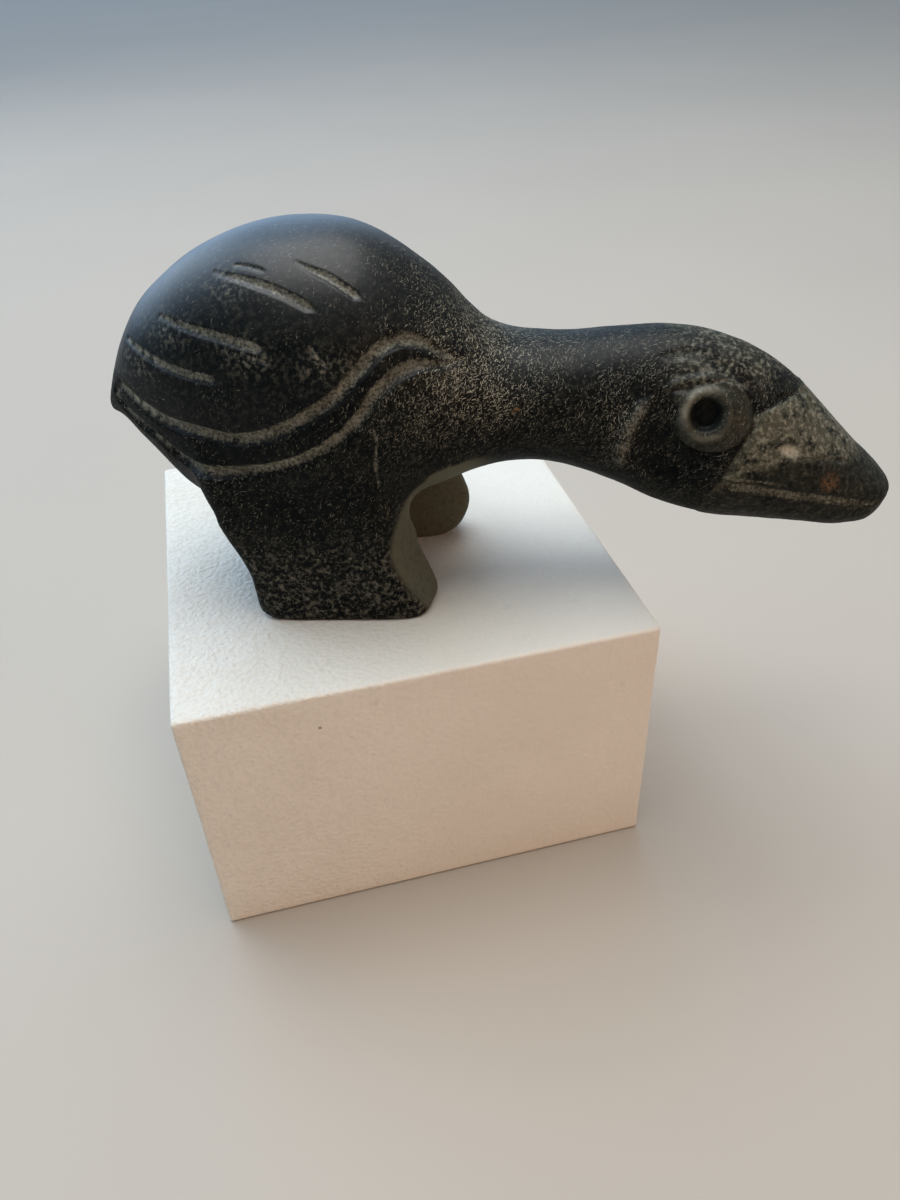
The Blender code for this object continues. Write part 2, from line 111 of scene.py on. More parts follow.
# Carved lines seen from the side: (place from the tail, height)
WING_UPPER = shares((37, 292), (62, 281), (93, 270), (148, 266), (191, 264), (242, 277), (288, 300),
                    (322, 321), (347, 345), (370, 362), (389, 365), (410, 358), (434, 341), (447, 332))
WING_LOWER = shares((37, 292), (22, 274), (40, 257), (77, 239), (114, 220), (153, 216), (201, 222),
                    (248, 234), (289, 252), (317, 270), (340, 290), (362, 317), (385, 333), (405, 337),
                    (437, 331), (452, 330))
FEATHERS = [
    shares((279, 443), (316, 428), (346, 409)),
    shares((185, 431), (232, 427), (267, 418), (298, 404)),
    shares((114, 384), (153, 380), (202, 375), (242, 367)),
    shares((58, 348), (103, 338), (141, 333), (181, 331)),
]
MOUTH_LINE = shares((757, 163), (796, 159), (849, 146), (888, 136), (928, 124), (978, 111))
BEAK_LINE = shares((880, 248), (853, 256), (820, 256), (807, 250), (798, 236), (786, 214), (775, 193),
                   (763, 164))
LID_LINE = shares((785, 272), (795, 259), (798, 244), (791, 227), (777, 214), (760, 208), (741, 205),
                  (722, 209))
LID_RIM = shares((690, 283), (712, 290), (743, 291), (768, 284), (787, 269))
BROW_LINE = shares((686, 313), (727, 313), (754, 302), (775, 288), (803, 264))
CHEEK_LINE = shares((672, 270), (660, 259), (652, 244), (646, 226), (642, 206), (645, 184))
NOSTRIL_LINE = shares((836, 196), (860, 189), (888, 182), (930, 169))
PUPIL_CENTRE = (0.738, 0.254)
EYE_CENTRE = (0.749, 0.246)
EYEBALL_LENGTH = 0.048
EYEBALL_HEIGHT = 0.04
EYE_CORNER = (0.694, 0.28)
NOSTRIL_CENTRE = (0.847, 0.2)
NOSTRIL_TILT = math.radians(-26)
SOCKET_CENTRE = (0.704, 0.207)
SOCKET_LENGTH = 0.06
SOCKET_HEIGHT = 0.05
# How far the forms of the face take to rise or sink: as shares of their own size
SOCKET_SLOPE = 0.55
EYEBALL_SLOPE = 0.1
PUPIL_SLOPE = 0.22
NOSTRIL_SLOPE = 0.8
# The same, as shares of the length
JAW_SLOPE = 0.012
JAW_RUN_IN = 0.06
# The eye's corner: its fade in metres, and its rise as a share of the eyeball's
EYE_CORNER_FADE = 0.003
EYE_CORNER_RISE = 0.6
# How deep the eyeball sits, as a share of the socket's depth
EYEBALL_SUNK = 0.35
# The edge of the beak and of the smooth front of the legs: (height, place from the tail)
BEAK_EDGE = shares((143, 752), (164, 763), (193, 775), (214, 786), (236, 798), (250, 808), (256, 850),
                   (265, 880), (300, 900))
SMOOTH_EDGE = shares((0, 404), (23, 392), (53, 372), (104, 360), (132, 369), (154, 382), (182, 404),
                     (200, 424), (208, 460))
SCRATCHES = [
    shares((354, 286), (357, 264), (353, 229), (354, 184)),
    shares((292, 372), (300, 361), (311, 349)),
    shares((208, 439), (226, 439), (245, 436)),
    shares((225, 362), (240, 357), (252, 353)),
    shares((772, 172), (810, 166), (853, 156)),
]
LINE_STEP = 0.0003

# The lower half and the tip of the beak are in painted shade: under this line
BEAK_SHADE = shares((750, 162), (800, 188), (850, 199), (888, 193), (930, 182), (1000, 178))

# Where the rubbed back is scuffed: (place from the tail, height)
SCUFFS = shares((200, 425), (120, 375), (70, 330), (220, 360), (310, 350))

# A cut line runs out at its ends: over this share of its length, to these shares of its width and depth
LINE_RUN_OUT = 0.12
LINE_END_WIDTH = 0.6
LINE_END_DEPTH = 0.35
FEATHER_RUN_IN = 0.4
FEATHER_RUN_OUT = 0.06

# Where the stone is rubbed smooth: above the upper wing line, fading towards the neck
RUB_EDGE = 0.02
RUB_FADE_START = 0.30
RUB_FADE_END = 0.45
# The legs' smooth faces lie under these heights, and the inner ones within this half width
SMOOTH_TOP = 0.212
INSIDE_TOP = 0.17
INSIDE_HALF_WIDTH = 0.075
# The legs end before this share of the length
LEGS_END = 0.5

# The uneven surfaces, in metres: the size of each wave, and how far the beak and the paint stand out
HAND_WAVE_SIZE = 0.016
CHISEL_WAVE_SIZE = 0.0045
BEAK_RISE = 0.0003
SAG_SIZE = 0.035
STIPPLE_SIZE = 0.0021
DENT_SIZE = 0.006
DENT_DEPTH = 0.0002
PAINT_LIMIT = 0.00005
# Steps round each edge of the block
EDGE_STEPS = 4

# The stain on the beak, the fleck on the neck and the block's speck, from the middle of its underside
STAIN_PLACE = (0.1206, -0.0657, 0.1245)
STAIN_RADIUS = 0.0045
FLECK_PLACE = (0.0342, -0.0437, 0.1500)
FLECK_RADIUS = 0.0016
SPECK_PLACE = (-0.0314, -0.0715, 0.0771)
SPECK_RADIUS = 0.0007

# Patches of colour: (size in metres, low and high edge of the noise, detail)
STONE_CLOUDS = (0.020, 0.36, 0.66, 3.0)
STONE_PATCHES = (0.009, 0.34, 0.64, 4.0)
STONE_BLOTCHES = (0.0034, 0.44, 0.66, 3.0)
STONE_SPOTS = (0.0014, 0.46, 0.72, 5.0)
STONE_GRIT = (0.0009, 0.55, 0.72, 2.0)
PAINT_CLOUDS = (0.03, 0.3, 0.75, 3.0)
PAINT_SCUFFS = (0.009, 0.66, 0.8, 4.0)
FLOOR_CLOUDS = (0.25, 0.2, 0.8, 2.0)
# Tool marks, coarse to fine: (cell in metres, length, width, spread, seed, strength)
MARK_LAYERS = [(0.0012, 1.25, 0.12, 1.3, 3.1, 1.0), (0.00085, 1.25, 0.14, 2.0, 17.7, 1.0),
               (0.0006, 1.2, 0.18, 3.0, 41.3, 0.9)]
# The way the marks run: coloured noise of this size, times the sway, plus the way
MARK_SWAY_SIZE = 0.035
MARK_SWAY = (2.4, 2.4, 2.4)
MARK_WAY = (-0.75, -1.45, -0.45)
# The numbers stored for each point, for the stone's material, painted shade and a painted glint among them
MASKS = ("rubbed", "beak", "dust", "bare", "smooth", "speckled", "bruised", "polished", "pale", "crown")

# The camera, placed as the viewer stood
CAMERA_PLACE = (-0.03525, -0.26267, 0.26328)
CAMERA_DOWN = math.radians(37.43)
CAMERA_TURN = math.radians(12.59)
CAMERA_ROLL = math.radians(-2.78)
CAMERA_LENS = 28.2
SENSOR = 36

# The lights: (name, place, size, colour), all turned to one point, the way to the window, and the floor
LIGHTS = [("window", (-0.85, 1.15, 0.85), 1.0, (0.78, 0.90, 1.0)),
          ("ceiling", (0.02, 0.2, 1.6), 1.4, (1.0, 0.99, 0.97)),
          ("lamp", (0.7, -1.3, 0.35), 0.9, (1.0, 0.45, 0.16))]
LIGHT_TARGET = (0, 0, 0.13)
WINDOW_WAY = (-0.4, 0.85, 0.42)
FLOOR_REACH = 6
FLOOR_BELOW = 0.0001


def number(name, value, description, **kind):
    return bpy.props.FloatProperty(name=name, description=description, default=value, **kind)


def mm(name, value, description):
    return number(name, value / 1000, description, min=0, unit="LENGTH", precision=5)


def screen_colour(name, red, green, blue, description):
    """A colour property whose default is given as screen values from 0 to 255."""
    def linear(value):
        share = value / 255
        return share / 12.92 if share <= 0.04045 else ((share + 0.055) / 1.055) ** 2.4
    return bpy.props.FloatVectorProperty(
        name=name, description=description, subtype="COLOR", size=4, min=0, max=1,
        default=(linear(red), linear(green), linear(blue), 1))


class GoslingCarving(bpy.types.PropertyGroup):
    """Sizes and colours of the stone."""

    length: mm("Length", 228, "From the tail to the tip of the beak")
    turn: number("Turn", math.radians(-16.5), "How far the carving is turned on its block", subtype="ANGLE")
    stand_right: number("Stand right", -0.0085, "Middle of the feet, along the block", unit="LENGTH")
    stand_back: number("Stand back", -0.0099, "Middle of the feet, across the block", unit="LENGTH")
    skin: mm("Skin", 1.01, "Size of the sculpted skin's faces before the carving is refined")
    groove_width: mm("Wing line width", 4.4, "Width of the two wing lines")
    groove_depth: mm("Wing line depth", 1.5, "Depth of the two wing lines")
    feather_width: mm("Feather width", 2.8, "Width of the feather strokes")
    feather_depth: mm("Feather depth", 0.6, "Depth of the feather strokes")
    mouth_width: mm("Mouth width", 3.6, "Width of the cut between the beak's halves")
    mouth_depth: mm("Mouth depth", 1.3, "Depth of the cut between the beak's halves")
    beak_line_width: mm("Beak line width", 2.6, "Width of the line round the beak's base")
    beak_line_depth: mm("Beak line depth", 0.4, "Depth of the line round the beak's base")
    pupil_radius: mm("Pupil radius", 4.5, "Radius of the drilled pupil")
    pupil_depth: mm("Pupil depth", 2.6, "Depth of the drilled pupil")
    ring_width: mm("Eye ring width", 3.0, "Width of the raised ring round the pupil")
    ring_rise: mm("Eye ring rise", 0.4, "How far the ring stands out")
    ball_rise: mm("Eyeball rise", 1.7, "How far the eyeball stands out")
    lid_width: mm("Lid line width", 2.4, "Width of the line under the eye")
    lid_depth: mm("Lid line depth", 0.9, "Depth of the line under the eye")
    rim_width: mm("Upper lid width", 3.2, "Width of the upper lid")
    rim_rise: mm("Upper lid rise", 0.6, "How far the upper lid stands out")
    brow_width: mm("Brow width", 4.5, "Width of the hollow over the eye")
    brow_depth: mm("Brow depth", 0.5, "Depth of the hollow over the eye")
    cheek_width: mm("Cheek width", 5.4, "Width of the rim behind the eye")
    cheek_rise: mm("Cheek rise", 1.0, "How far that rim stands out")
    socket_depth: mm("Socket depth", 2.0, "How far the hollow under the eye sinks")
    jaw_depth: mm("Jaw depth", 0.7, "How far the lower jaw sits back under the upper one")
    nostril_length: mm("Nostril length", 7.0, "Length of the nostril's nick")
    nostril_width: mm("Nostril width", 3.0, "Width of the nostril's nick")
    nostril_depth: mm("Nostril depth", 0.8, "Depth of the nostril's nick")
    scratch_width: mm("Scratch width", 1.6, "Width of the scratches and of the line by the nostril")
    scratch_depth: mm("Scratch depth", 0.35, "Depth of those")
    hand_wave: mm("Hand wave", 0.28, "How uneven the rubbed surface is, over about a finger's width")
    chisel_wave: mm("Chisel wave", 0.10, "How uneven the tooled surface is, over a few millimetres")
    stone: screen_colour("Stone", 3, 8, 11, "The dark stone")
    stone_green: screen_colour("Green stone", 27, 33, 30, "Lighter clouds in the stone")
    # Also the colour of the painted glint on the eye ring
    bruise_and_glint: screen_colour("Tool marks", 192, 191, 172, "Stone bruised by the point of the tool")
    chalk: screen_colour("Cut lines", 134, 136, 124, "Pale dust left in the cut lines")
    olive: screen_colour("Olive", 92, 94, 80, "The smooth faces of the feet, the eyes and the beak")
    rust: screen_colour("Rust", 138, 104, 72, "The stain on the beak and the fleck on the neck")


class GoslingPlinth(bpy.types.PropertyGroup):
    """Sizes and colours of the painted block."""

    edge_radius: mm("Edge radius", 1.2, "Radius of the painted edges")
    grid: mm("Grid", 1.6, "Size of the block's faces")
    stipple: mm("Stipple", 0.05, "Height of the roller's stipple")
    sag: mm("Sag", 0.16, "How uneven the sawn faces are under the paint")
    paint: screen_colour("Paint", 232, 228, 216, "The white paint")
    # Also the painted shade in the stipple's hollows
    scuff_and_shade: screen_colour("Scuff", 176, 166, 150, "Faint scuffs and dirt on the paint")
    speck: screen_colour("Speck", 70, 62, 54, "The dark speck in the paint")


class GoslingStage(bpy.types.PropertyGroup):
    """The floor and the light."""

    floor: screen_colour("Floor", 190, 181, 168, "The plain floor")
    sky: screen_colour("Window light", 178, 212, 248, "Light from the window's side of the room")
    room: screen_colour("Room light", 104, 107, 110, "Light from the rest of the room")
    sky_strength: number("Room light strength", 1.9, "Strength of the light from all round")
    window: number("Window strength", 3.5, "Power of the large cool light behind", unit="POWER")
    ceiling: number("Ceiling strength", 21, "Power of the soft light above", unit="POWER")
    lamp: number("Lamp strength", 6, "Power of the warm light in front", unit="POWER")


def on_line(points, place):
    """The smooth curve through (place, value) points, read at one place."""
    last = len(points) - 1
    place = min(max(place, points[0][0]), points[last][0])
    index = 0
    while index < last - 1 and place > points[index + 1][0]:
        index += 1

    def chord(i):
        return (points[i + 1][1] - points[i][1]) / (points[i + 1][0] - points[i][0])

    def slope(i):
        if i == 0 or i == last:
            return chord(min(i, last - 1))
        before = points[i][0] - points[i - 1][0]
        after = points[i + 1][0] - points[i][0]
        return (chord(i - 1) * after + chord(i) * before) / (before + after)

    span = points[index + 1][0] - points[index][0]
    t = (place - points[index][0]) / span
    start = (2 * t**3 - 3 * t**2 + 1) * points[index][1] + (t**3 - 2 * t**2 + t) * span * slope(index)
    end = (3 * t**2 - 2 * t**3) * points[index + 1][1] + (t**3 - t**2) * span * slope(index + 1)
    return start + end


def rounded(angle, squareness):
    """A point on a unit superellipse, which is a circle at squareness 2 and nearly a square at 6."""
    power = 2 / squareness
    across = math.copysign(abs(math.cos(angle)) ** power, math.cos(angle))
    up = math.copysign(abs(math.sin(angle)) ** power, math.sin(angle))
    return across, up


def body_ring(along, length):
    """One section of the body, neck or head, at this share of the length."""
    top = on_line(BACK_LINE, along)
    bottom = on_line(BELLY_LINE, along)
    half = on_line(HALF_WIDTH_LINE, along)
    widest = bottom + (top - bottom) * on_line(WIDEST_LINE, along)
    ring = []
    for step in range(RING_POINTS):
        angle = 2 * math.pi * step / RING_POINTS
        upper = angle < math.pi
        across, up = rounded(angle, on_line(UPPER_SQUARENESS if upper else LOWER_SQUARENESS, along))
        height = widest + up * ((top - widest) if upper else (widest - bottom))
        ring.append(Vector((along - FEET_CENTRE, across * half, height)) * length)
    return ring


def leg_ring(height, side, length):
    """One level section of a leg, a quadrilateral with rounded corners, on side -1 (near) or 1 (far)."""
    near = side < 0
    rear = on_line(LEG_REAR, height) + (0 if near else FAR_REAR_FORWARD)
    front_outer = on_line(NEAR_FRONT_OUTER if near else FAR_FRONT_OUTER, height)
    front_inner = on_line(NEAR_FRONT_INNER if near else FAR_FRONT_INNER, height)
    inward = 0 if near else FAR_FOOT_INWARD * (1 - max(height, 0) / LEG_TOP)
    outer = on_line(LEG_OUTER, height) - inward
    inner = on_line(LEG_INNER, height) - inward
    squareness = NEAR_CORNER_SQUARENESS if near else FAR_CORNER_SQUARENESS
    low = min(max(1 - height / SOLE_ROUND, 0), 1)
    drawn_in = SOLE_ROUND * (1 - math.sqrt(1 - low * low))
    rear += drawn_in
    front_outer -= drawn_in
    front_inner -= drawn_in
    outer -= drawn_in * SOLE_ROUND_OUTWARD
    inner += drawn_in * SOLE_ROUND_OUTWARD
    ring = []
    for step in range(RING_POINTS):
        along, out = rounded(2 * math.pi * step / RING_POINTS, squareness)
        share_out = (out + 1) / 2
        front = front_inner + (front_outer - front_inner) * share_out
        x = rear + (front - rear) * (along + 1) / 2
        y = inner + (outer - inner) * share_out
        ring.append(Vector((x - FEET_CENTRE, side * y, height)) * length)
    return ring


def loft(name, rings):
    """A closed solid through a row of rings that have as many points each."""
    bm = bmesh.new()
    loops = [[bm.verts.new(point) for point in ring] for ring in rings]
    count = len(rings[0])
    for lower, upper in zip(loops, loops[1:]):
        for i in range(count):
            j = (i + 1) % count
            bm.faces.new((lower[i], lower[j], upper[j], upper[i]))
    bm.faces.new(loops[0])
    bm.faces.new(loops[-1])
    bmesh.ops.recalc_face_normals(bm, faces=bm.faces)
    return new_object(name, bm)


def add_object(name, data):
    obj = bpy.data.objects.new(name, data)
    bpy.context.scene.collection.objects.link(obj)
    return obj


def new_object(name, bm):
    mesh = bpy.data.meshes.new(name)
    bm.to_mesh(mesh)
    bm.free()
    return add_object(name, mesh)


def keep_evaluated(obj):
    """Gives an object the mesh that its modifiers make, and drops the modifiers."""
    graph = bpy.context.evaluated_depsgraph_get()
    mesh = bpy.data.meshes.new_from_object(obj.evaluated_get(graph))
    obj.modifiers.clear()
    obj.data = mesh


def union_with(obj, other):
    join = obj.modifiers.new("join", "BOOLEAN")
    join.operation = "UNION"
    join.solver = "EXACT"
    join.object = other
    keep_evaluated(obj)
    bpy.data.objects.remove(other, do_unlink=True)


def tree_of(obj):
    return BVHTree.FromObject(obj, bpy.context.evaluated_depsgraph_get())


def even_skin(obj, size):
    """Covers a solid with small faces of one size, so that it can be sculpted."""
    remesh = obj.modifiers.new("even skin", "REMESH")
    remesh.mode = "VOXEL"
    remesh.voxel_size = size
    keep_evaluated(obj)


def smooth_verts(bm, verts, passes):
    for _ in range(passes):
        bmesh.ops.smooth_vert(
            bm, verts=verts, factor=0.5, use_axis_x=True, use_axis_y=True, use_axis_z=True)


def edit_mesh(obj, change):
    """Lets a function change an object's mesh as a bmesh."""
    bm = bmesh.new()
    bm.from_mesh(obj.data)
    change(bm)
    bm.to_mesh(obj.data)
    bm.free()


def soften(obj, trunk_tree, leg_trees, reach):
    """Rounds the hollow where each leg grows out of the belly, and takes the steps out of the skin."""
    def near_both(point):
        on_trunk = trunk_tree.find_nearest(point, reach)[0] is not None
        return on_trunk and any(tree.find_nearest(point, reach)[0] is not None for tree in leg_trees)

    def smooth(bm):
        smooth_verts(bm, [vert for vert in bm.verts if near_both(vert.co)], BLEND_PASSES)
        smooth_verts(bm, bm.verts, SKIN_PASSES)

    edit_mesh(obj, smooth)


def cut_soles(bm):
    """Cuts the feet off level and closes them."""
    geometry = bm.verts[:] + bm.edges[:] + bm.faces[:]
    cut = bmesh.ops.bisect_plane(
        bm, geom=geometry, plane_co=(0, 0, 0), plane_no=(0, 0, -1), clear_outer=True)
    rim = [part for part in cut["geom_cut"] if isinstance(part, bmesh.types.BMEdge)]
    bmesh.ops.holes_fill(bm, edges=rim, sides=0)
    bmesh.ops.recalc_face_normals(bm, faces=bm.faces)


def side_curve(points, length):
    """Even steps along the smooth curve through points seen from the side, in metres."""
    knots = [Vector((x - FEET_CENTRE, 0, z)) * length for x, z in points]
    lengths = [0]
    for before, after in zip(knots, knots[1:]):
        lengths.append(lengths[-1] + (after - before).length)
    steps = max(2, math.ceil(lengths[-1] / LINE_STEP))
    along = list(zip(lengths, [knot.x for knot in knots]))
    up = list(zip(lengths, [knot.z for knot in knots]))
    places = [lengths[-1] * i / steps for i in range(steps + 1)]
    return [Vector((on_line(along, place), 0, on_line(up, place))) for place in places]


def onto_side(tree, point, side, length):
    """The point of the surface that a ray from the side, -1 near or 1 far, meets first."""
    start = Vector((point.x, side * length, point.z))
    return tree.ray_cast(start, Vector((0, -side, 0)))[0]


def carved_lines(s):
    """Every carved line as (points, width, depth, dust, lean, run in, run out).

    A negative depth stands out, and lean is how far below the middle of the cut its dust lies.
    The line thins over those two shares of its length, at its start and at its end.
    """
    lines = [
        (WING_UPPER, s.groove_width, s.groove_depth, 1, -0.15),
        (WING_LOWER, s.groove_width, s.groove_depth, 0.9, -0.2),
        # The mouth's dust lies low in the cut: pale dust, and a painted highlight on the lower wall that
        # faces the light
        (MOUTH_LINE, s.mouth_width, s.mouth_depth, 0.62, 0.35),
        (BEAK_LINE, s.beak_line_width, s.beak_line_depth, 0, 0),
        (LID_LINE, s.lid_width, s.lid_depth, 0, 0),
        (LID_RIM, s.rim_width, -s.rim_rise, 0.4, 0),
        (BROW_LINE, s.brow_width, s.brow_depth, 0, 0),
        (CHEEK_LINE, s.cheek_width, -s.cheek_rise, 0.55, 0),
        (NOSTRIL_LINE, s.scratch_width, s.scratch_depth, 0, 0),
    ]
    lines += [(scratch, s.scratch_width, s.scratch_depth, 0.6, 0) for scratch in SCRATCHES]
    feathers = [(feather, s.feather_width, s.feather_depth, 1, -0.35) for feather in FEATHERS]
    return ([line + (LINE_RUN_OUT, LINE_RUN_OUT) for line in lines]
            + [feather + (FEATHER_RUN_IN, FEATHER_RUN_OUT) for feather in feathers])


def line_samples(obj, s):
    """Points along every carved line on both sides: (place, half width, depth, dust, lean)."""
    tree = tree_of(obj)
    samples = []
    for points, width, depth, dust, lean, run_in, run_out in carved_lines(s):
        curve = side_curve(points, s.length)
        for side in (-1, 1):
            for i, point in enumerate(curve):
                spot = onto_side(tree, point, side, s.length)
                if spot is None:
                    continue
                place = i / (len(curve) - 1)
                share = min(1, place / run_in, (1 - place) / run_out)
                half = width / 2 * (LINE_END_WIDTH + (1 - LINE_END_WIDTH) * share)
                deep = depth * (LINE_END_DEPTH + (1 - LINE_END_DEPTH) * share)
                samples.append((spot, half, deep, dust * (0.5 + 0.5 * share), lean * half))
    return samples


def tree_of_points(points):
    tree = KDTree(len(points))
    for i, point in enumerate(points):
        tree.insert(point, i)
    tree.balance()
    return tree


def refine_near(obj, tree, reach):
    """Splits the faces near the points of a tree once more."""
    def near(bm):
        return [vert for vert in bm.verts if tree.find(vert.co)[2] < reach]

    def refine(bm):
        close = set(near(bm))
        edges = [edge for edge in bm.edges if edge.verts[0] in close and edge.verts[1] in close]
        bmesh.ops.subdivide_edges(bm, edges=edges, cuts=1, use_grid_fill=True, smooth=0)
        smooth_verts(bm, near(bm), 2)

    edit_mesh(obj, refine)


def smooth_step(value):
    value = np.clip(value, 0, 1)
    return value * value * (3 - 2 * value)


def past(value, start, span=1):
    """0 up to the start, rising smoothly to 1 a span beyond it."""
    return smooth_step((value - start) / span)


def read_line(points, places):
    return np.array([on_line(points, place) for place in places])


def points_and_normals(obj):
    count = len(obj.data.vertices)
    points = np.empty(count * 3, np.float32)
    normals = np.empty(count * 3, np.float32)
    obj.data.vertices.foreach_get("co", points)
    obj.data.vertex_normals.foreach_get("vector", normals)
    return points.reshape(-1, 3).astype(float), normals.reshape(-1, 3).astype(float)


def put_points(obj, points):
    obj.data.vertices.foreach_set("co", points.astype(np.float32).ravel())
    obj.data.update()


def put_mask(obj, name, values):
    """Stores one number from 0 to 1 for each point, for the material to read."""
    mask = obj.data.attributes.new(name, "FLOAT", "POINT")
    mask.data.foreach_set("value", np.clip(values, 0, 1).astype(np.float32))


def wave(points, size, seed):
    """Smooth noise from about -1 to 1, over this size in metres."""
    shift = Vector((seed, -seed, seed * 0.5))
    return np.array([noise.noise(Vector(point) / size + shift) for point in points])


def side_places(points, length):
    """Points as shares of the length from the tail, and as heights in such shares."""
    return points[:, 0] / length + FEET_CENTRE, points[:, 2] / length


def eyeball_form(x, z, ball, length):
    """The eyeball with its pointed corner: its height as a share, and where it lies.

    x and z are metres from its centre, and ball is 1 on the edge of its oval.
    """
    corner_x = (EYE_CORNER[0] - EYE_CENTRE[0]) * length
    corner_z = (EYE_CORNER[1] - EYE_CENTRE[1]) * length
    to_corner = math.hypot(corner_x, corner_z)
    back = (x * corner_x + z * corner_z) / to_corner
    beside = abs(x * corner_z - z * corner_x) / to_corner
    wedge = EYEBALL_HEIGHT * length * np.clip(1 - back / to_corner, 0, 1)
    corner = past(1.2, beside / (wedge + 1e-4)) * past(to_corner, back, EYE_CORNER_FADE) * (back > 0)
    dome = np.maximum(np.sqrt(np.clip(1 - ball**2, 0, 1)), corner * EYE_CORNER_RISE)
    return dome, np.maximum(past(1.02, ball, EYEBALL_SLOPE), corner)


def face_relief(points, normals, s):
    """How far the face stands out or in, and the shares that are pale (the nostril's dust and a painted
    glint on the eye ring), in painted shade, and smooth eyeball.
    """
    along, height = side_places(points, s.length)

    def metres(centre):
        return (along - centre[0]) * s.length, (height - centre[1]) * s.length

    def oval(centre, length, tall):
        return np.hypot((along - centre[0]) / length, (height - centre[1]) / tall)

    socket = oval(SOCKET_CENTRE, SOCKET_LENGTH, SOCKET_HEIGHT)
    rise = -s.socket_depth * past(1, socket, SOCKET_SLOPE)
    ball = oval(EYE_CENTRE, EYEBALL_LENGTH, EYEBALL_HEIGHT)
    dome, on_ball = eyeball_form(*metres(EYE_CENTRE), ball, s.length)
    sunk = EYEBALL_SUNK * s.socket_depth * on_ball * past(1, socket)
    rise = rise * (1 - on_ball) + s.ball_rise * dome - sunk
    pupil_x, pupil_z = metres(PUPIL_CENTRE)
    from_pupil = np.hypot(pupil_x, pupil_z)
    ring = past(1.1, abs(from_pupil - s.pupil_radius - s.ring_width / 2) / (s.ring_width / 2))
    rise += s.ring_rise * ring
    pupil = past(s.pupil_radius, from_pupil, s.pupil_radius * PUPIL_SLOPE)
    rise -= s.pupil_depth * pupil
    jaw = past(read_line(MOUTH_LINE, along), height, JAW_SLOPE) * past(along, MOUTH_LINE[0][0], JAW_RUN_IN)
    rise -= s.jaw_depth * jaw * past(abs(normals[:, 1]), 0.2, 0.6)
    nick_x, nick_z = metres(NOSTRIL_CENTRE)
    turned_x = nick_x * math.cos(NOSTRIL_TILT) + nick_z * math.sin(NOSTRIL_TILT)
    turned_z = nick_z * math.cos(NOSTRIL_TILT) - nick_x * math.sin(NOSTRIL_TILT)
    nick = np.hypot(turned_x / (s.nostril_length / 2), turned_z / (s.nostril_width / 2))
    nostril = past(1.3, nick, NOSTRIL_SLOPE)
    rise -= s.nostril_depth * nostril
    # Painted glint: the eye ring is lighter on its upper left, and a little at its bottom
    painted_glint = ring * np.maximum(past(pupil_z, pupil_x, 0.008) * 0.5,
                             past(-pupil_z, 0.4 * abs(pupil_x), 0.005) * 0.25)
    painted_glint *= 0.7 + 0.5 * wave(points, 0.0022, 47)
    pale = np.clip(np.maximum(nostril, painted_glint), 0, 1)
    # Painted shade: the socket's hollow, the drilled pupil and the jaw's underside are darkened, in patches
    dark = past(1.15, socket, 0.5) * (1 - on_ball)
    dark *= 0.8 - 0.65 * smooth_step(wave(points, 0.006, 41) * 2.5 + 0.5)
    dark = np.maximum.reduce([dark, pupil * 1.4, jaw * 0.9])
    smooth = np.maximum(on_ball * 0.25, ring * 0.5) * (1 - pupil)
    smooth *= 0.8 + 0.4 * wave(points, 0.003, 43)
    on_side = past(abs(points[:, 1]), s.pupil_radius, 0.003)
    return rise * on_side, pale * on_side, dark * on_side, smooth * on_side


def beyond(along, height, edge):
    """1 in front of an edge given as (height, share of the length) points, 0 behind it."""
    return smooth_step((along - read_line(edge, height)) / 0.008 + 0.5)


def rubbed_share(along, height):
    """1 where the stone is rubbed smooth above the wing line, fading towards the neck."""
    above = past(height, read_line(WING_UPPER, along), RUB_EDGE)
    return above * (1 - past(along, RUB_FADE_START, RUB_FADE_END - RUB_FADE_START))


def hill(along, height, middle_along, middle_height, spread_along, spread_height):
    """A soft patch of height 1 round this middle, seen from the side."""
    return (np.exp(-(((along - middle_along) / spread_along) ** 2))
            * np.exp(-(((height - middle_height) / spread_height) ** 2)))


def cut_lines(points, lines, samples, move):
    """Takes the carved lines out of move, and returns the dust that lies in them."""
    dust = np.zeros(len(points))
    for i, point in enumerate(points):
        spot, index, distance = lines.find(point)
        _, half, depth, paleness, lean = samples[index]
        if distance < 1.4 * half:
            move[i] -= depth * max(0, 1 - (distance / half) ** 2)
            drop = point[2] - spot.z
            to_dust = math.sqrt(max(distance**2 - drop**2, 0) + (drop + lean) ** 2)
            dust[i] = paleness * max(0, 1 - (to_dust / half) ** 2)
    return dust


